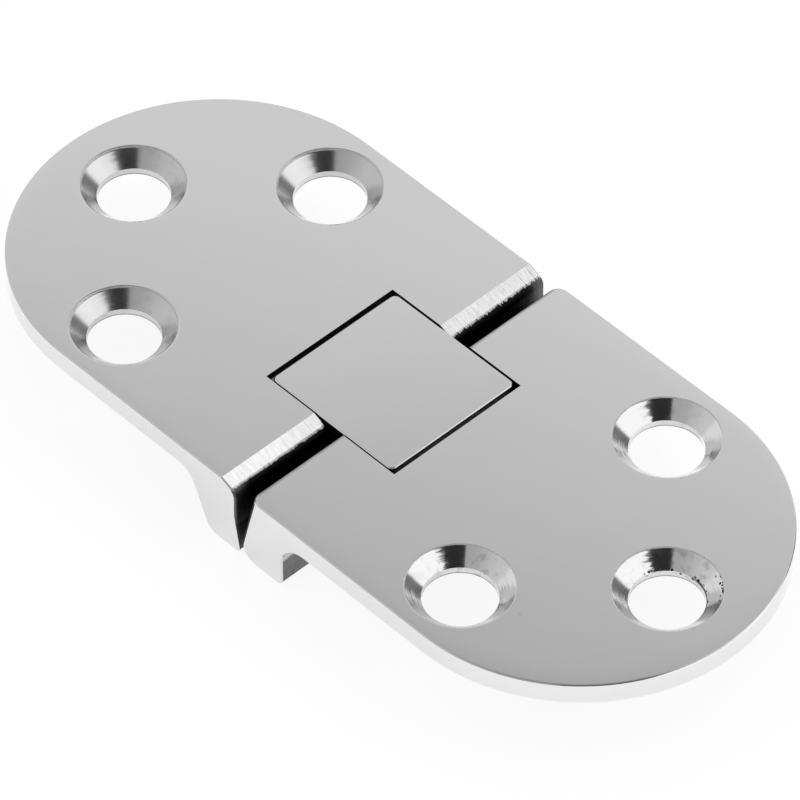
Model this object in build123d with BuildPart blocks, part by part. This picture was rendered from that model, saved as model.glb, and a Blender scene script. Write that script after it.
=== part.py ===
from build123d import *
import os
from math import hypot

# Concealed flap hinge, in millimetres.
# X runs along the hinge from the fixed leaf to the flap leaf, Y along the hinge pins, Z up.
# The origin is under the middle of the joint, level with the feet of the two bosses.

# Leaves
leaf_width = 30.0
leaf_reach = 33.5            # from the middle of the joint to the tip of a leaf
plate_thickness = 1.7
boss_depth = 6.3             # from the top face to the foot of a boss
seam_gap = 0.35              # between the two joint walls where they come nearest
edge_break = 0.15            # polished-over edges of the castings

# Screw holes
screw_hole_radius = 2.7
countersink_radius = 3.85
countersink_angle = 90.0
fixed_rim_round = 0.35       # polished-over rims of the fixed leaf's countersinks
flap_rim_round = 0.15
inner_hole_reach = 17.1      # from the middle of the joint to the two holes side by side
inner_hole_spacing = 20.0    # between those two holes
tip_hole_reach = 27.1        # from the middle of the joint to the hole near the tip

# Joint edge and boss of the fixed leaf
fixed_bevel_reach = 1.6      # from the middle of the joint to the ground bevel's top edge
fixed_bevel_drop = 0.65      # down to where the bevel would meet the joint wall
fixed_bevel_round = 0.8      # between the bevel and the wall
fixed_toe_reach = 0.25       # past the middle of the joint, under the flap leaf
fixed_toe_height = 2.5
fixed_toe_round = 0.4
fixed_boss_foot = 2.9        # reach of the boss at its foot
fixed_boss_root = 4.85       # reach of the boss where it meets the plate
fixed_boss_round = 1.0
fixed_root_round = 1.6

# Joint edge and boss of the flap leaf
flap_lip_reach = 1.3         # from the middle of the joint to the top edge
flap_slope_depth = 4.4       # down to the foot of the sloped wall, which comes nearest the fixed leaf
flap_step = 0.3              # drop from there to the upright wall, which stands back
flap_wall_reach = 0.45       # from the middle of the joint to that upright wall
flap_foot_round = 1.4
flap_boss_reach = 4.4
flap_boss_round = 0.3
flap_root_round = 2.4
flap_corner_round = 0.9      # upright corners at the two ends of the joint wall

# Hinge pins
pin_radius = 1.0
pin_depth = 2.1              # pin axis below the top face
pin_spacing = 5.2            # between the two pin axes
pin_end_cover = 3.0          # solid metal left beyond the blind end of each pin bore
running_clearance = 0.05     # radial, between a pin and the link's bore

# Bridge link
link_length = 12.2
link_width = 12.0
link_depth = 4.6
link_side_round = 0.5        # round both side faces, but not along the top
link_heel_round = 2.0        # under both ends
link_edge_break = 0.12
pocket_end_gap = 0.4         # between the link and the end of each pocket
pocket_side_gap = 0.12       # between the link and each side of the pockets
swing_clearance = 0.1        # between the link's turning top corner and the pocket's undercut

# Derived sizes
half_width = leaf_width / 2
tip_centre = leaf_reach - half_width
top_z = boss_depth
underside_z = top_z - plate_thickness
wall_reach = seam_gap / 2
pin_reach = pin_spacing / 2
pin_z = top_z - pin_depth
pin_length = leaf_width - pin_end_cover
pocket_reach = link_length / 2 + pocket_end_gap
pocket_width = link_width + 2 * pocket_side_gap
swing_radius = hypot(link_length / 2 - pin_reach, pin_depth) + swing_clearance

# Joint sections: points (distance from the middle of the joint, height) and corner radii
fixed_section = [
    ((fixed_bevel_reach, top_z), 0),
    ((wall_reach, top_z - fixed_bevel_drop), fixed_bevel_round),
    ((wall_reach, fixed_toe_height), 0),
    ((-fixed_toe_reach, 0), fixed_toe_round),
    ((fixed_boss_foot, 0), fixed_boss_round),
    ((fixed_boss_root, underside_z), fixed_root_round),
    ((leaf_reach, underside_z), 0),
    ((leaf_reach, top_z), 0),
]
flap_section = [
    ((flap_lip_reach, top_z), 0),
    ((wall_reach, top_z - flap_slope_depth), 0),
    ((flap_wall_reach, top_z - flap_slope_depth - flap_step), 0),
    ((flap_wall_reach, 0), flap_foot_round),
    ((flap_boss_reach, 0), flap_boss_round),
    ((flap_boss_reach, underside_z), flap_root_round),
    ((leaf_reach, underside_z), 0),
    ((leaf_reach, top_z), 0),
]


def casting(side, section):
    """Return a leaf before machining: its joint section, cut to the outline with a round tip."""
    with BuildPart() as blank:
        with BuildSketch(Plane.XZ):
            with BuildLine():
                FilletPolyline(
                    *[(side * reach, height) for (reach, height), _ in section],
                    radius=[radius for _, radius in section],
                    close=True,
                )
            make_face()
        extrude(amount=half_width, both=True)
        with BuildSketch():
            with BuildLine():
                Polyline(
                    (side * tip_centre, -half_width),
                    (-side * fixed_toe_reach, -half_width),
                    (-side * fixed_toe_reach, half_width),
                    (side * tip_centre, half_width),
                )
                ThreePointArc(
                    (side * tip_centre, half_width),
                    (side * leaf_reach, 0),
                    (side * tip_centre, -half_width),
                )
            make_face()
        extrude(amount=top_z, mode=Mode.INTERSECT)
    return blank.part


def pocket(side):
    """Return the space for the link: open above and below, and undercut for its swinging heel."""
    with BuildPart() as space:
        with BuildSketch(Plane.XZ):
            with Locations((side * (pocket_reach - fixed_toe_reach) / 2, top_z / 2)):
                Rectangle(pocket_reach + fixed_toe_reach, 2 * boss_depth)
            with Locations((side * pin_reach, pin_z)):
                Circle(swing_radius)
        extrude(amount=pocket_width / 2, both=True)
    return space.part


def pin(side, radius):
    """Return a hinge pin, or the bore for it, from the far side face to its blind end."""
    with BuildPart() as shaft:
        with BuildSketch(Plane.XZ.offset(-half_width)):
            with Locations((side * pin_reach, pin_z)):
                Circle(radius)
        extrude(amount=pin_length)
    return shaft.part


def screw_places(side):
    """Return the places of a leaf's three screw holes on its top face."""
    return [
        (side * inner_hole_reach, -inner_hole_spacing / 2, top_z),
        (side * inner_hole_reach, inner_hole_spacing / 2, top_z),
        (side * tip_hole_reach, 0, top_z),
    ]


def countersink_rims(leaf):
    """Return the edges of a leaf's countersinks on its top face."""
    top = leaf.faces().sort_by(Axis.Z)[-1]
    return top.edges().filter_by(lambda edge: edge.is_closed)


os.makedirs("parts", exist_ok=True)

# Fixed leaf: bevelled joint edge above an upright wall, which ends in a toe
with BuildPart() as fixed_leaf:
    add(casting(-1, fixed_section))
    rim = fixed_leaf.faces().sort_by(Axis.Z)[-1].edges().filter_by(Axis.Y, reverse=True)
    bevel = fixed_leaf.faces().filter_by(GeomType.PLANE).sort_by(Axis.Z)[-2]
    rounds = fixed_leaf.faces().filter_by(GeomType.CYLINDER)
    bevel_round = rounds.sort_by(lambda face: abs(face.radius - fixed_bevel_round))[0]
    bevel_ends = (bevel_round.edges() + bevel.edges()).filter_by(Axis.Y, reverse=True)
    fillet(rim + bevel_ends, edge_break)
    add(pocket(-1), mode=Mode.SUBTRACT)
    add(pin(-1, pin_radius), mode=Mode.SUBTRACT)
    with Locations(*screw_places(-1)):
        CounterSinkHole(screw_hole_radius, countersink_radius, counter_sink_angle=countersink_angle)
    fillet(countersink_rims(fixed_leaf), fixed_rim_round)
fixed_leaf.part.label = "fixed_leaf"
export_step(fixed_leaf.part, "parts/fixed_leaf.step")

# Flap leaf: sharp joint edge above a sloped wall, with rounded upright corners
with BuildPart() as flap_leaf:
    add(casting(1, flap_section))
    slope = flap_leaf.faces().filter_by(GeomType.PLANE).sort_by(Axis.X)[2]
    fillet(slope.edges().filter_by(Axis.Y, reverse=True), flap_corner_round)
    rim = flap_leaf.faces().sort_by(Axis.Z)[-1].edges().filter_by(Axis.Y, reverse=True)
    fillet(rim, edge_break)
    add(pocket(1), mode=Mode.SUBTRACT)
    add(pin(1, pin_radius), mode=Mode.SUBTRACT)
    with Locations(*screw_places(1)):
        CounterSinkHole(screw_hole_radius, countersink_radius, counter_sink_angle=countersink_angle)
    fillet(countersink_rims(flap_leaf), flap_rim_round)
flap_leaf.part.label = "flap_leaf"
export_step(flap_leaf.part, "parts/flap_leaf.step")

# Bridge link: a block with round heels, bored for both pins
with BuildPart() as bridge_link:
    with BuildSketch(Plane.XY.offset(top_z)):
        Rectangle(link_length, link_width)
    extrude(amount=-link_depth)
    heels = bridge_link.faces().sort_by(Axis.Z)[0].edges().filter_by(Axis.Y)
    fillet(heels, link_heel_round)
    fillet(bridge_link.edges().filter_by(Axis.Z), link_side_round)
    fillet(bridge_link.faces().sort_by(Axis.Z)[-1].edges(), link_edge_break)
    for side in (-1, 1):
        add(pin(side, pin_radius + running_clearance), mode=Mode.SUBTRACT)
bridge_link.part.label = "bridge_link"
export_step(bridge_link.part, "parts/bridge_link.step")

# Hinge pins: pressed into the leaves, flush with their far side faces
with BuildPart() as fixed_pin:
    add(pin(-1, pin_radius))
fixed_pin.part.label = "fixed_pin"
export_step(fixed_pin.part, "parts/fixed_pin.step")

with BuildPart() as flap_pin:
    add(pin(1, pin_radius))
flap_pin.part.label = "flap_pin"
export_step(flap_pin.part, "parts/flap_pin.step")
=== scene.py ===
import math

import bpy
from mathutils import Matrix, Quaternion, Vector

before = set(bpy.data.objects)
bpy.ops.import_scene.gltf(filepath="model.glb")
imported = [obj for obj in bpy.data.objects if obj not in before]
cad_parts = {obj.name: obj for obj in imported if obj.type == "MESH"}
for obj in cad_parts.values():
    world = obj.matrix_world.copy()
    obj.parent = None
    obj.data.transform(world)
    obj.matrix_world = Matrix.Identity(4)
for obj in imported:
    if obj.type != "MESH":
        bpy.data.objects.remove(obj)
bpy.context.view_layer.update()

# Concealed flap hinge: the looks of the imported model, and a plain studio round it.
# Blender's lengths are metres; the materials work in millimetres of the part's own frame.

MM = 0.001

# Camera, as in the photograph: a long lens from the near right, well above the hinge
CAMERA_AZIMUTH = 46.50
CAMERA_ELEVATION = 46.69
CAMERA_DISTANCE = 508.25 * MM
CAMERA_ROLL = -0.24
CAMERA_LENS = 327.16
AIM = Vector((1.65, -0.94, 6.3)) * MM

# Light tent: how bright each part is, where 1 is white
WALL_LEVEL = 0.80            # the most that the far side reaches, low down
BACK_LEVEL = 0.70            # the far side at the camera's height
BACK_FALL = 0.026            # for each degree above that
CEILING_LEVEL = 0.30
LEFT_LEVEL = (0.48, 0.72)    # nearest the camera, and further round
SHADE_LEVEL = 0.22
KEY_LEVEL = 1.25
BEVEL_LEVEL = 1.4
OPENING_LEVEL = 0.03

# Panels of the tent, in degrees: first and last azimuth counted from the camera's, lowest and
# highest elevation, and how soft the edges are
LEFT_PANEL = (-150, -8, -95, 66, 8)
HIGH_SHADE = (32, 98, 45, 90, 4)
LOW_SHADE = (108, 136, -20, 38, 5)
KEY_PANEL = (36, 111, -95, 41, 4)
BEVEL_PANEL = (100, 140, 43, 74, 4)
LEFT_TURN = (-25, -100)      # azimuths between which the left panel brightens

# Dark opening for the camera, in degrees: where each soft edge starts from outside, and ends
OPENING_LEFT = (-14, -10)
OPENING_RIGHT = (48, 41)
OPENING_BOTTOM = (20, 24)
OPENING_TOP = (60, 56)
OPENING_LEAN = 1.3           # azimuth by which the right edge moves out for each degree up
LEAN_FROM = 41               # elevation where it stands at the place given above

# Floor: its glow and its paper, where the camera sees it and where the metal mirrors it
FLOOR_SEEN = (0.88, 0.22)
FLOOR_MIRRORED = (0.60, 0.98)
FLOOR_REACH = 3.0

# The two sides of the joint that a leaf can lie on, along X
FIXED = -1.0
FLAP = 1.0

# Sizes of the hinge that the materials follow, in millimetres. A reach is a distance from the
# middle of the joint.
HALF_WIDTH = 15.0
LEAF_REACH = 33.5
TIP_CENTRE = 18.5            # reach where the straight sides end
TOP = 6.3
UNDERSIDE = 4.6
INNER_HOLE = (17.1, 10.0)    # reach, and distance from the middle line
TIP_HOLE = 27.1              # reach
BETWEEN_HOLES = 22.3         # no countersink reaches this far from the joint, or starts nearer
COUNTERSINK = 3.85           # radius
SCREW_HOLE = 2.7             # radius
BORE_TOP = 5.15              # height where a countersink meets its bore
BEVEL_REACH = 1.6            # top edge of the fixed leaf's bevel
LIP_REACH = 1.3              # top edge of the flap leaf's joint wall
POCKET_REACH = 6.5
ROOT_REACH = 6.9             # just past the round behind the flap leaf's boss
ROOT_FOOT = 2.2              # height where that round starts
PIN_REACH = 2.6
PIN_HEIGHT = 4.2
PIN_RADIUS = 1.0
LINK_HALF_WIDTH = 6.0

# Metal colours
POLISHED = (0.752, 0.742, 0.748)
CAST = (0.330, 0.322, 0.318)
# Near black: residue, and also painted shade in the joint, under the boss and on the link's sides, and
# painted dark reflections in the countersinks
RESIDUE_AND_PAINTED_SHADE = (0.014, 0.013, 0.013)
# Painted highlight in the flap leaf's countersinks
PAINTED_HIGHLIGHT_TONE = (0.98, 0.97, 0.975)
GROUND = (0.96, 0.95, 0.96)
SCRATCHED = (0.36, 0.355, 0.36)

# Roughness of each finish, where 0 is a mirror
POLISH_ROUGHNESS = 0.09
CAST_ROUGHNESS = 0.48
CUT_ROUGHNESS = {FIXED: 0.20, FLAP: 0.11}
GROUND_ROUGHNESS = 0.27
SCUFF_ROUGHNESS = 0.35
PIN_ROUGHNESS = 0.22

# Relief, in millimetres
BUFFING = 0.0016
FINE_CASTING = 0.010
BROAD_CASTING = 0.02
TOOL_RINGS = 0.0032
CHIP_DEPTH = 0.02
SCRATCHES = 0.0026
PIN_RINGS = 0.001
PIN_SEAM = 0.03

# Fine and broad grain of each finish, in waves to a millimetre
CAST_GRAIN = (2.2, 0.5)
POLISH_GRAIN = (0.8, 0.25)
RING_GRAIN = (4.2, 1.7)      # across the tool rings of a countersink
ROUND_GRAIN = (1.2, 5.0)     # along those rings, in waves to a radian
SCRATCH_GRAIN = (9.0, 2.5)   # across the scratches of the bevel
SCRATCH_LENGTH = (0.6, 1.0)  # along them
SCRATCH_DROP = (0.0, 1.0)    # down the bevel

# How far the polish tilts the top's facing, in degrees
CROWN = (0.9, 2.0)           # at the tip of a leaf, and at its sides
LINK_CROWN = 0.8             # at the sides of the link
ROLL = 1.5                   # more than that at the very edge of a leaf
ROLL_REACH = 0.7             # millimetres in which that fades away

# Countersinks: a direction round the hole is given by its parts along X and Y
CUT_SHINE = {FIXED: 0.90, FLAP: 1.0}
CUT_WEAR = {FIXED: 0.3, FLAP: 1.0}
STAIN_SHARES = (0.45, 0.12, 0.50)    # at the near inner hole, the far one and the tip hole
# Painted dark reflections in the countersinks: the directions round the hole where they lie, the edge and
# raggedness of their border, and how dark they are
PAINTED_REFLECTION_DIRECTIONS = ((0.97, 0.24), (-0.21, -0.98))
PAINTED_REFLECTION_EDGE = {FIXED: (0.895, 0.965), FLAP: (0.925, 0.985)}
PAINTED_REFLECTION_RAGGED = {FIXED: 0.01, FLAP: 0.02}
PAINTED_REFLECTION_SHARES = {FIXED: (0.52, 0.52), FLAP: (0.45, 0.72)}    # at the inner holes and the tip hole
# A painted dark reflection on the near side of the flap leaf's countersinks, and how dark it is
NEAR_REFLECTION_DIRECTION = (0.60, -0.80)
NEAR_REFLECTION_SHARES = (0.50, 0.36)   # at the near inner hole, and at the others
# Direction round the hole of that painted highlight
PAINTED_HIGHLIGHT_DIRECTION = (0.62, 0.78)
CHATTER = 0.11               # tilt of the facing round the hole, as a slope
CHATTER_DIRECTION = (-0.85, -0.53)
STEADY_DIRECTION = (-0.78, -0.62)


def direction(azimuth, elevation):
    """Return the unit vector to an azimuth, 0 along -Y and 90 along +X, and an elevation, in degrees."""
    a, e = math.radians(azimuth), math.radians(elevation)
    return Vector((math.sin(a) * math.cos(e), -math.cos(a) * math.cos(e), math.sin(e)))


def dimmed(colour, share):
    return tuple(share * part for part in colour)


class Field:
    """A number that varies over a surface. It can be used in sums like any other number."""

    def __init__(self, graph, socket):
        self.graph = graph
        self.socket = socket

    def __add__(self, other):
        return self.graph.math("ADD", self, other)

    def __sub__(self, other):
        return self.graph.math("SUBTRACT", self, other)

    def __rsub__(self, other):
        return self.graph.math("SUBTRACT", other, self)

    def __mul__(self, other):
        return self.graph.math("MULTIPLY", self, other)

    def __truediv__(self, other):
        return self.graph.math("DIVIDE", self, other)

    def __abs__(self):
        return self.graph.math("ABSOLUTE", self)

    __radd__ = __add__
    __rmul__ = __mul__


class Graph:
    """Builds the nodes of one material or world. A field, a socket or a plain value may be an input."""

    def __init__(self, owner):
        owner.use_nodes = True
        self.tree = owner.node_tree
        self.tree.nodes.clear()

    def put(self, socket, source):
        if isinstance(source, Field):
            source = source.socket
        if isinstance(source, bpy.types.NodeSocket):
            self.tree.links.new(source, socket)
        else:
            socket.default_value = source

    def node(self, kind, inputs=None, **settings):
        made = self.tree.nodes.new(kind)
        for name, setting in settings.items():
            setattr(made, name, setting)
        for name, source in (inputs or {}).items():
            self.put(made.inputs[name], source)
        return made

    def math(self, operation, *sources):
        made = self.node("ShaderNodeMath", dict(enumerate(sources)), operation=operation)
        return Field(self, made.outputs[0])

    def vector(self, operation, *sources):
        made = self.node("ShaderNodeVectorMath", dict(enumerate(sources)), operation=operation)
        return made.outputs[0]

    def parts(self, socket):
        """Return the three numbers of a vector."""
        made = self.node("ShaderNodeSeparateXYZ", {0: socket})
        return [Field(self, output) for output in made.outputs]

    def join(self, x, y, z):
        return self.node("ShaderNodeCombineXYZ", {0: x, 1: y, 2: z}).outputs[0]

    def length(self, x, y):
        return self.math("SQRT", x * x + y * y)

    def least(self, one, other):
        return self.math("MINIMUM", one, other)

    def most(self, one, other):
        return self.math("MAXIMUM", one, other)

    def step(self, source, start, end):
        """Return 0 before start and 1 past end, with a smooth rise between. End may be the lower one."""
        made = self.node("ShaderNodeMapRange", {"Value": source}, interpolation_type="SMOOTHSTEP")
        ends = (start, end, 0.0, 1.0) if start < end else (end, start, 1.0, 0.0)
        for name, number in zip(("From Min", "From Max", "To Min", "To Max"), ends):
            self.put(made.inputs[name], number)
        return Field(self, made.outputs[0])

    def blend(self, share, low, high):
        """Return low where the share is 0 and high where it is 1."""
        return low + share * (high - low)

    def noise(self, place, detail, roughness=0.5):
        """Return smooth noise about 0, mostly between -1 and 1."""
        inputs = {"Vector": place, "Scale": 1.0, "Detail": detail, "Roughness": roughness}
        made = self.node("ShaderNodeTexNoise", inputs, noise_dimensions="3D")
        return (Field(self, made.outputs[0]) - 0.5) * 4.0

    def spots(self, place, scale, size):
        """Return 1 inside small round spots scattered at random, about one to each cell, and 0 outside."""
        made = self.node("ShaderNodeTexVoronoi", {"Vector": place, "Scale": scale, "Randomness": 1.0})
        return self.step(Field(self, made.outputs["Distance"]), size, size * 0.6)

    def colour(self, share, low, high):
        """Blend two colours, low where the share is 0 and high where it is 1."""
        made = self.node("ShaderNodeMix", data_type="RGBA")
        self.put(made.inputs["Factor"], share)
        for socket, tone in ((made.inputs[6], low), (made.inputs[7], high)):
            self.put(socket, (*tone, 1.0) if isinstance(tone, tuple) else tone)
        return made.outputs[2]

    def choose(self, share, low, high):
        """Blend two vectors, low where the share is 0 and high where it is 1."""
        made = self.node("ShaderNodeMix", data_type="VECTOR")
        for socket, source in zip((made.inputs[0], made.inputs[4], made.inputs[5]), (share, low, high)):
            self.put(socket, source)
        return made.outputs[1]

    def layer(self, under, share, over):
        """Lay one finish over another: each is a colour, a roughness and a relief in millimetres."""
        tone = self.colour(share, under[0], over[0])
        roughness = self.blend(share, under[1], over[1])
        return tone, roughness, self.blend(share, under[2], over[2])

    def scaled(self, socket, scale):
        return self.vector("MULTIPLY", socket, (scale, scale, scale))

    def place(self):
        """Return the surface point in millimetres of the part's frame, and its facing there."""
        coordinates = self.node("ShaderNodeTexCoord")
        point = self.vector("DIVIDE", coordinates.outputs["Object"], (MM, MM, MM))
        return point, coordinates.outputs["Normal"]

    def world_facing(self, facing):
        """Turn a facing from the part's frame to the world's, so that it follows the part when it moves."""
        turned = self.node("ShaderNodeVectorTransform", {0: self.vector("NORMALIZE", facing)},
                           vector_type="NORMAL", convert_from="OBJECT", convert_to="WORLD")
        return turned.outputs[0]


def add_camera():
    """Place the camera on its azimuth and elevation about the aim point, with its slight roll."""
    data = bpy.data.cameras.new("camera")
    data.sensor_width = 36.0
    data.lens = CAMERA_LENS
    data.clip_start = 0.01
    data.clip_end = 20.0
    camera = bpy.data.objects.new("camera", data)
    bpy.context.scene.collection.objects.link(camera)
    back = direction(CAMERA_AZIMUTH, CAMERA_ELEVATION)
    camera.location = AIM + back * CAMERA_DISTANCE
    camera.rotation_mode = "QUATERNION"
    turn = (-back).to_track_quat("-Z", "Y")
    turn.rotate(Quaternion(back, math.radians(CAMERA_ROLL)))
    camera.rotation_quaternion = turn
    bpy.context.scene.camera = camera


def make_world():
    """A light tent: bright walls, a darker ceiling, bright panels and a dark opening for the camera."""
    world = bpy.data.worlds.new("studio")
    bpy.context.scene.world = world
    g = Graph(world)
    across, along, height = g.parts(g.node("ShaderNodeTexCoord").outputs["Generated"])
    turned = math.radians(CAMERA_AZIMUTH)
    right = across * math.cos(turned) + along * math.sin(turned)
    front = across * math.sin(turned) - along * math.cos(turned)
    azimuth = g.math("ARCTAN2", right, front) * math.degrees(1.0)
    elevation = g.math("ARCSINE", height) * math.degrees(1.0)

    def inside(first, last, bottom, top, soft):
        """Return 1 inside a panel, by its azimuths and elevations, and 0 outside."""
        sides = g.step(azimuth, first - soft, first + soft) * g.step(azimuth, last + soft, last - soft)
        ends = g.step(elevation, bottom - soft, bottom + soft) * g.step(elevation, top + soft, top - soft)
        return sides * ends

    level = BACK_LEVEL - (elevation - CAMERA_ELEVATION) * BACK_FALL
    level = g.least(g.most(level, CEILING_LEVEL), WALL_LEVEL)
    left_level = g.blend(g.step(azimuth, *LEFT_TURN), *LEFT_LEVEL)
    panels = (
        (LEFT_PANEL, left_level),
        (HIGH_SHADE, SHADE_LEVEL),
        (LOW_SHADE, SHADE_LEVEL),
        (KEY_PANEL, KEY_LEVEL),
        (BEVEL_PANEL, BEVEL_LEVEL),
    )
    for panel, panel_level in panels:
        level = g.blend(inside(*panel), level, panel_level)
    lean = (elevation - LEAN_FROM) * OPENING_LEAN
    opening = g.step(azimuth, *OPENING_LEFT) * g.step(azimuth - lean, *OPENING_RIGHT)
    opening = opening * g.step(elevation, *OPENING_BOTTOM) * g.step(elevation, *OPENING_TOP)
    level = g.blend(opening, level, OPENING_LEVEL)
    seen = Field(g, g.node("ShaderNodeLightPath").outputs["Is Camera Ray"])
    light = g.node("ShaderNodeBackground", {"Color": (1, 1, 1, 1), "Strength": g.blend(seen, level, 1.0)})
    g.node("ShaderNodeOutputWorld", {"Surface": light.outputs[0]})
    world.cycles.sampling_method = "NONE"


def make_floor():
    """A white floor with a faint shadow under the hinge, and a deeper one where the metal mirrors it."""
    corners = [(x * FLOOR_REACH, y * FLOOR_REACH, 0) for x, y in ((-1, -1), (1, -1), (1, 1), (-1, 1))]
    mesh = bpy.data.meshes.new("floor")
    mesh.from_pydata(corners, [], [(0, 1, 2, 3)])
    floor = bpy.data.objects.new("floor", mesh)
    bpy.context.scene.collection.objects.link(floor)
    material = bpy.data.materials.new("white_floor")
    g = Graph(material)
    path = g.node("ShaderNodeLightPath").outputs
    camera = Field(g, path["Is Camera Ray"])
    mirrored = g.most(path["Is Glossy Ray"], path["Is Transmission Ray"])
    strength = camera * FLOOR_SEEN[0] + mirrored * FLOOR_MIRRORED[0]
    shade = g.blend(camera, FLOOR_MIRRORED[1], FLOOR_SEEN[1])
    glow = g.node("ShaderNodeEmission", {"Color": (1, 1, 1, 1), "Strength": strength})
    paper = g.node("ShaderNodeBsdfDiffuse", {"Color": g.join(shade, shade, shade)})
    both = g.node("ShaderNodeAddShader", {0: glow.outputs[0], 1: paper.outputs[0]})
    g.node("ShaderNodeOutputMaterial", {"Surface": both.outputs[0]})
    mesh.materials.append(material)


def new_metal(name):
    material = bpy.data.materials.new(name)
    return material, Graph(material)


def shade_metal(g, finish, facing):
    """End the nodes of a metal with its finish, over the given facing in the part's frame."""
    tone, roughness, height = finish
    bump = g.node("ShaderNodeBump", {"Strength": 1.0, "Distance": MM, "Height": height,
                                     "Normal": g.world_facing(facing)})
    shader = g.node("ShaderNodeBsdfPrincipled", {"Base Color": tone, "Metallic": 1.0,
                                                 "Roughness": roughness, "Normal": bump.outputs[0]})
    g.node("ShaderNodeOutputMaterial", {"Surface": shader.outputs[0]})


def polish(g, point, broad):
    """A mirror polish: faint haze, slow buffing waves and a few small specks."""
    tone = g.colour(g.step(broad, -1.2, 1.6), dimmed(POLISHED, 0.985), POLISHED)
    tone = g.colour(0.15 * g.spots(point, 0.13, 0.022), tone, CAST)
    return tone, POLISH_ROUGHNESS + 0.02 * broad, BUFFING * broad


def casting(g, grain, broad):
    """A rough cast surface that was never polished."""
    tone = g.colour(g.step(grain + broad, -2.0, 2.0), dimmed(CAST, 0.72), dimmed(CAST, 1.25))
    return tone, CAST_ROUGHNESS + 0.06 * broad, FINE_CASTING * grain + BROAD_CASTING * broad


class Leaf:
    """Where the surface of a leaf lies and which finish it has there, as fields of its material."""

    def __init__(self, g, side):
        self.g = g
        self.side = side
        self.point, self.facing = g.place()
        self.x, self.y, self.z = g.parts(self.point)
        facing_x, self.facing_y, self.facing_up = g.parts(self.facing)
        self.facing_joint = facing_x * -side
        self.reach = self.x * side
        self.past_centre = g.most(self.reach - TIP_CENTRE, 0.0)
        self.spread = g.length(self.past_centre, self.y)
        self.inset = HALF_WIDTH - self.spread
        self.find_hole()
        self.find_finishes()
        self.find_grain()

    def find_hole(self):
        """Find the distance and the direction from the nearest screw hole's axis."""
        g, y = self.g, self.y
        self.at_tip = g.math("GREATER_THAN", self.reach, BETWEEN_HOLES)
        off_y = g.blend(self.at_tip, g.math("SIGN", y) * (abs(y) - INNER_HOLE[1]), y)
        off_x = self.x - self.side * g.blend(self.at_tip, INNER_HOLE[0], TIP_HOLE)
        self.hole = g.length(off_x, off_y)
        self.angle = g.math("ARCTAN2", off_y, off_x)
        self.toward_x = off_x / self.hole
        self.toward_y = off_y / self.hole

    def toward(self, direction_round):
        """Return how nearly the point lies in a direction from the hole's axis: 1 where it does."""
        return direction_round[0] * self.toward_x + direction_round[1] * self.toward_y

    def find_finishes(self):
        """Find how much of each finish there is, by place and by facing: 1 straight up or to the joint."""
        g, up, z, joint = self.g, self.facing_up, self.z, self.facing_joint
        self.on_top = g.step(up, 0.93, 0.97) * g.step(z, TOP - 0.1, TOP - 0.05)
        on_outline = g.step(self.inset, 0.22, 0.18) * g.step(joint, 0.90, 0.75)
        if self.side == FIXED:
            under_bevel = g.step(joint, 0.1, 0.3) * g.step(z, TOP - 0.50, TOP - 0.60)
            on_outline = on_outline * (1.0 - under_bevel)
            on_strip = g.step(joint, 0.2, 0.3) * g.step(self.reach, BEVEL_REACH + 0.1, BEVEL_REACH + 0.05)
            self.on_strip = on_strip * g.step(self.inset, 0.12, 0.16)
        in_hole = g.step(self.hole, COUNTERSINK + 0.35, COUNTERSINK + 0.30) * g.step(self.inset, 0.5, 0.6)
        in_hole = in_hole * g.step(up, -0.5, -0.3)
        self.cut = in_hole * g.step(up, 0.97, 0.80)
        self.polished = g.most(g.most(self.on_top, on_outline), in_hole * (1.0 - self.cut))
        self.in_joint = g.step(self.reach, POCKET_REACH + 0.1, POCKET_REACH + 0.02)
        pocket_side = g.step(abs(self.facing_y), 0.6, 0.7) * g.step(self.inset, 0.15, 0.3)
        sideways = g.most(g.step(joint, 0.25, 0.35), pocket_side)
        # Painted shade: the joint walls are painted near black, as residue and as the shade of the gap
        self.black_residue_and_shade = self.in_joint * sideways * (1.0 - self.on_top)

    def find_grain(self):
        """Find one fine and one broad grain that serve every finish, stretched to suit each."""
        g = self.g
        # Each hole gets tool rings of its own
        other_hole = 7.0 * self.at_tip + 3.0 * g.step(self.y, -2.0, 2.0)
        places = []
        for i in (0, 1):
            rough = g.scaled(self.point, CAST_GRAIN[i])
            place = g.choose(self.polished, rough, g.scaled(self.point, POLISH_GRAIN[i]))
            rings = g.join(self.hole * RING_GRAIN[i] + other_hole, self.angle * ROUND_GRAIN[i],
                           self.z * RING_GRAIN[i])
            place = g.choose(self.cut, place, rings)
            if self.side == FIXED:
                scratches = g.join(self.reach * SCRATCH_LENGTH[i], self.y * SCRATCH_GRAIN[i],
                                   self.z * SCRATCH_DROP[i])
                place = g.choose(self.on_strip, place, scratches)
            places.append(place)
        self.grain = g.noise(places[0], 3.0, 0.6)
        self.broad = g.noise(places[1], 2.0)


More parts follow.
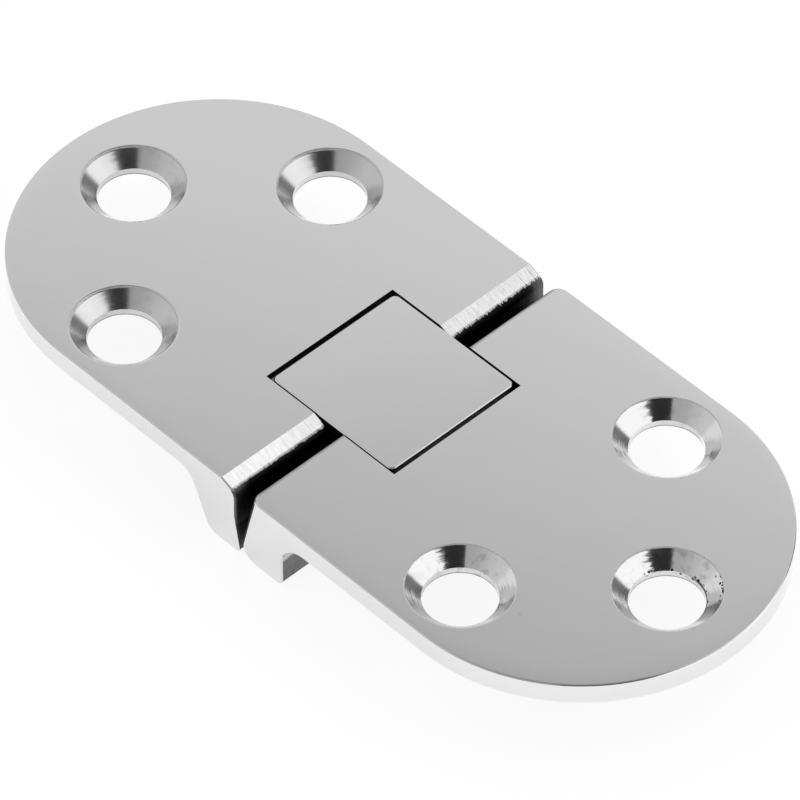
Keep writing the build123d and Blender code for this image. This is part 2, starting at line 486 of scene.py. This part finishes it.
def raw_leaf(g, leaf):
    """The casting before it is polished: near black in the joint, as residue and as painted shade of the
    gap, lighter near its two open ends.
    """
    tone, roughness, height = casting(g, leaf.grain, leaf.broad)
    ends = g.step(abs(leaf.y) + 0.2 * leaf.grain, 13.4, 14.7)
    tone = g.colour(leaf.black_residue_and_shade, tone, g.colour(0.35 * ends, RESIDUE_AND_PAINTED_SHADE, tone))
    height = height * (1.0 - 0.75 * leaf.black_residue_and_shade)

    # Painted shade: the boss is darker where it faces away from the joint, under the plate. On the flap
    # leaf its root round is painted lighter, a buffed tone that also stands in for the highlight on the
    # round
    tone = g.colour(0.40 * g.step(leaf.facing_joint, -0.4, -0.8), tone, RESIDUE_AND_PAINTED_SHADE)
    if leaf.side == FLAP:
        buffed_root_and_sheen = g.step(leaf.facing_up + 0.05 * leaf.grain, -0.04, -0.12)
        buffed_root_and_sheen = buffed_root_and_sheen * g.step(leaf.z, ROOT_FOOT - 0.2, ROOT_FOOT)
        buffed_root_and_sheen = buffed_root_and_sheen * g.step(leaf.reach, ROOT_REACH + 0.3, ROOT_REACH)
        tone = g.colour(0.85 * buffed_root_and_sheen, tone, POLISHED)
    return tone, roughness, height


def cut_metal(g, leaf):
    """A countersink and its bore: tool rings, stains, painted dark reflections in certain directions, a
    painted highlight on the flap leaf, and a darker foot of the bore.
    """
    side, wear = leaf.side, CUT_WEAR[leaf.side]
    stains = g.step(leaf.broad, 0.0, 0.9) * g.blend(g.step(leaf.toward_y, -0.3, 0.6), 0.3, 1.0)
    inner_share = g.blend(g.step(leaf.y, -2.0, 2.0), STAIN_SHARES[0], STAIN_SHARES[1])
    stained = wear * g.blend(leaf.at_tip, inner_share, STAIN_SHARES[2])
    tone = g.colour(stained * stains, dimmed(POLISHED, CUT_SHINE[side]), CAST)
    # Painted dark reflections, in certain directions round the hole
    painted_reflection = g.most(leaf.toward(PAINTED_REFLECTION_DIRECTIONS[0]), leaf.toward(PAINTED_REFLECTION_DIRECTIONS[1]))
    painted_reflection = g.step(painted_reflection + PAINTED_REFLECTION_RAGGED[side] * leaf.grain, *PAINTED_REFLECTION_EDGE[side])
    painted_reflection = painted_reflection * g.blend(leaf.at_tip, *PAINTED_REFLECTION_SHARES[side])
    if side == FLAP:
        # Painted highlight on one side of the flap leaf's countersinks
        painted_highlight = g.step(leaf.toward(PAINTED_HIGHLIGHT_DIRECTION), 0.90, 0.97)
        tone = g.colour(0.8 * painted_highlight, tone, PAINTED_HIGHLIGHT_TONE)
        # A painted dark reflection on the near side of the hole
        near_reflection = g.step(leaf.toward(NEAR_REFLECTION_DIRECTION), 0.70, 0.95)
        painted_reflection = g.most(painted_reflection, near_reflection * g.blend(g.step(leaf.y, -8.0, -2.0), *NEAR_REFLECTION_SHARES))
    tone = g.colour(painted_reflection, tone, RESIDUE_AND_PAINTED_SHADE)
    bore_foot = g.step(leaf.z, UNDERSIDE + 0.14, UNDERSIDE + 0.04)
    tone = g.colour(0.6 * bore_foot, tone, RESIDUE_AND_PAINTED_SHADE)
    return tone, CUT_ROUGHNESS[side] + 0.10 * wear * stains, (TOOL_RINGS * wear) * leaf.grain


def chipped(g, leaf, finish):
    """Add the black chips of the flap leaf's tip hole, on its brim and round the top of its bore."""
    tone, roughness, height = finish
    from_lip = g.length(leaf.hole - SCREW_HOLE, leaf.z - BORE_TOP)
    brim = g.step(abs(leaf.hole - COUNTERSINK + 0.12), 0.22, 0.10) * g.step(leaf.toward_y, 0.4, 0.6)
    brim = brim * g.step(leaf.toward_x, 0.15, 0.4)
    flecks = g.spots(leaf.point, 3.1, 0.42) * g.most(g.step(from_lip, 0.24, 0.14), brim)
    flakes = brim * g.step(leaf.broad + 0.4 * leaf.grain, 0.05, 0.25)
    burr = 0.9 * g.step(from_lip + 0.05 * leaf.grain, 0.14, 0.07) * g.step(leaf.toward_x, -0.3, 0.2)
    chips = g.most(g.most(flecks, flakes), burr) * leaf.at_tip * g.step(leaf.toward_y, 0.1, 0.3)
    return g.colour(chips, tone, RESIDUE_AND_PAINTED_SHADE), roughness + 0.3 * chips, height - CHIP_DEPTH * chips


def ground_bevel(g, leaf):
    """The fixed leaf's bevel: scratched across, duller to the far side, with a ragged lower border."""
    share = leaf.on_strip * g.step(leaf.facing_joint + 0.15 * leaf.grain, 0.62, 0.52)
    deep = g.step(leaf.grain, 0.3, 1.5)
    dull = 0.20 * g.step(leaf.y, -12.0, -5.0) + 0.08 * g.step(leaf.y, -2.0, 6.0)
    dull = dull + 0.12 * g.step(leaf.broad, -0.6, 0.8) + 0.45 * deep
    tone = g.colour(dull, GROUND, SCRATCHED)
    return share, (tone, GROUND_ROUGHNESS + 0.10 * deep, SCRATCHES * leaf.grain)


def scuffed_lip(g, leaf):
    """The sharp top edge of the flap leaf's joint wall: scuffed and dull."""
    edge = g.step(leaf.reach + 0.04 * leaf.grain, LIP_REACH + 0.34, LIP_REACH - 0.05)
    return 0.75 * (leaf.on_top * leaf.in_joint * edge), (RESIDUE_AND_PAINTED_SHADE, SCUFF_ROUGHNESS, 0.0)


def worn_facing(g, leaf):
    """Return the facing of a leaf as the polish and the cutter left it."""
    # The polish leaves the top slightly crowned and rolls it over near the outline
    roll = math.radians(ROLL) * g.math("EXPONENT", leaf.inset / -ROLL_REACH) / g.most(leaf.spread, 0.01)
    to_tip, to_side = math.radians(CROWN[0]), math.radians(CROWN[1])
    across = leaf.on_top * (leaf.x * (to_tip / LEAF_REACH) + roll * leaf.past_centre * leaf.side)
    along = leaf.on_top * leaf.y * (to_side / HALF_WIDTH + roll)

    # The cutter chattered round one side of each countersink, but ran steady in its middle
    chattered = g.step(leaf.toward(CHATTER_DIRECTION), 0.45, 0.75)
    chattered = chattered * g.step(leaf.toward(STEADY_DIRECTION), 0.97, 0.91)
    chatter = leaf.cut * leaf.grain * CUT_WEAR[leaf.side] * CHATTER * chattered
    across = across - chatter * leaf.toward_y
    along = along + chatter * leaf.toward_x
    return g.vector("ADD", leaf.facing, g.join(across, along, 0.0))


def leaf_metal(name, side):
    """A leaf: polished top and outline, cut countersinks, and a cast joint wall black with residue."""
    material, g = new_metal(name)
    leaf = Leaf(g, side)
    finish = g.layer(raw_leaf(g, leaf), leaf.polished, polish(g, leaf.point, leaf.broad))
    if side == FIXED:
        cut = cut_metal(g, leaf)
        edge_share, edge = ground_bevel(g, leaf)
    else:
        cut = chipped(g, leaf, cut_metal(g, leaf))
        edge_share, edge = scuffed_lip(g, leaf)
    finish = g.layer(finish, leaf.cut, cut)
    finish = g.layer(finish, edge_share, edge)
    shade_metal(g, finish, worn_facing(g, leaf))
    return material


def link_metal(name):
    """The bridge link: a polished top with ground edges, black sides (residue and painted shade of the
    joint gap) and a dark cast underside.
    """
    material, g = new_metal(name)
    point, facing = g.place()
    x, y = g.parts(point)[:2]
    up = g.parts(facing)[2]
    polished = g.step(up, 0.15, 0.35)
    fine, wide = [g.choose(polished, g.scaled(point, cast_scale), g.scaled(point, polish_scale))
                  for cast_scale, polish_scale in zip(CAST_GRAIN, POLISH_GRAIN)]
    grain = g.noise(fine, 3.0, 0.6)
    broad = g.noise(wide, 2.0)
    tone, roughness, height = casting(g, grain, broad)
    # Painted shade: the sides, down in the joint gap, are painted near black
    tone = g.colour(g.step(up, -0.35, -0.15), tone, RESIDUE_AND_PAINTED_SHADE)
    finish = g.layer((tone, roughness, height), polished, polish(g, point, broad))
    crown = math.radians(LINK_CROWN) / LINK_HALF_WIDTH
    crowned = g.join(x * crown * polished, y * crown * polished, 0.0)
    shade_metal(g, finish, g.vector("ADD", facing, crowned))
    return material


def pin_metal(name, x_axis):
    """A hinge pin: turned steel, with rings on its end face and a dark line where it meets the leaf."""
    material, g = new_metal(name)
    point, facing = g.place()
    x, y, z = g.parts(point)
    radius = g.length(x - x_axis, z - PIN_HEIGHT)
    rings = g.noise(g.join(radius * 9.0, y * 3.0, 0.0), 2.0)
    seam = g.step(radius, PIN_RADIUS - 0.10, PIN_RADIUS - 0.03)
    tone = g.colour(0.5 * seam, dimmed(POLISHED, 0.85), RESIDUE_AND_PAINTED_SHADE)
    finish = (tone, PIN_ROUGHNESS + 0.04 * rings, PIN_RINGS * rings - PIN_SEAM * seam)
    shade_metal(g, finish, facing)
    return material


def finish_nodes():
    """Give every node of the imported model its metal."""
    metals = {
        "fixed_leaf": leaf_metal("fixed_leaf_metal", FIXED),
        "flap_leaf": leaf_metal("flap_leaf_metal", FLAP),
        "bridge_link": link_metal("bridge_link_metal"),
        "fixed_pin": pin_metal("fixed_pin_metal", -PIN_REACH),
        "flap_pin": pin_metal("flap_pin_metal", PIN_REACH),
    }
    for name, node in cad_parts.items():
        node.data.materials[0] = metals[name]


add_camera()
make_world()
make_floor()
finish_nodes()

bpy.context.scene.view_settings.view_transform = "Standard"
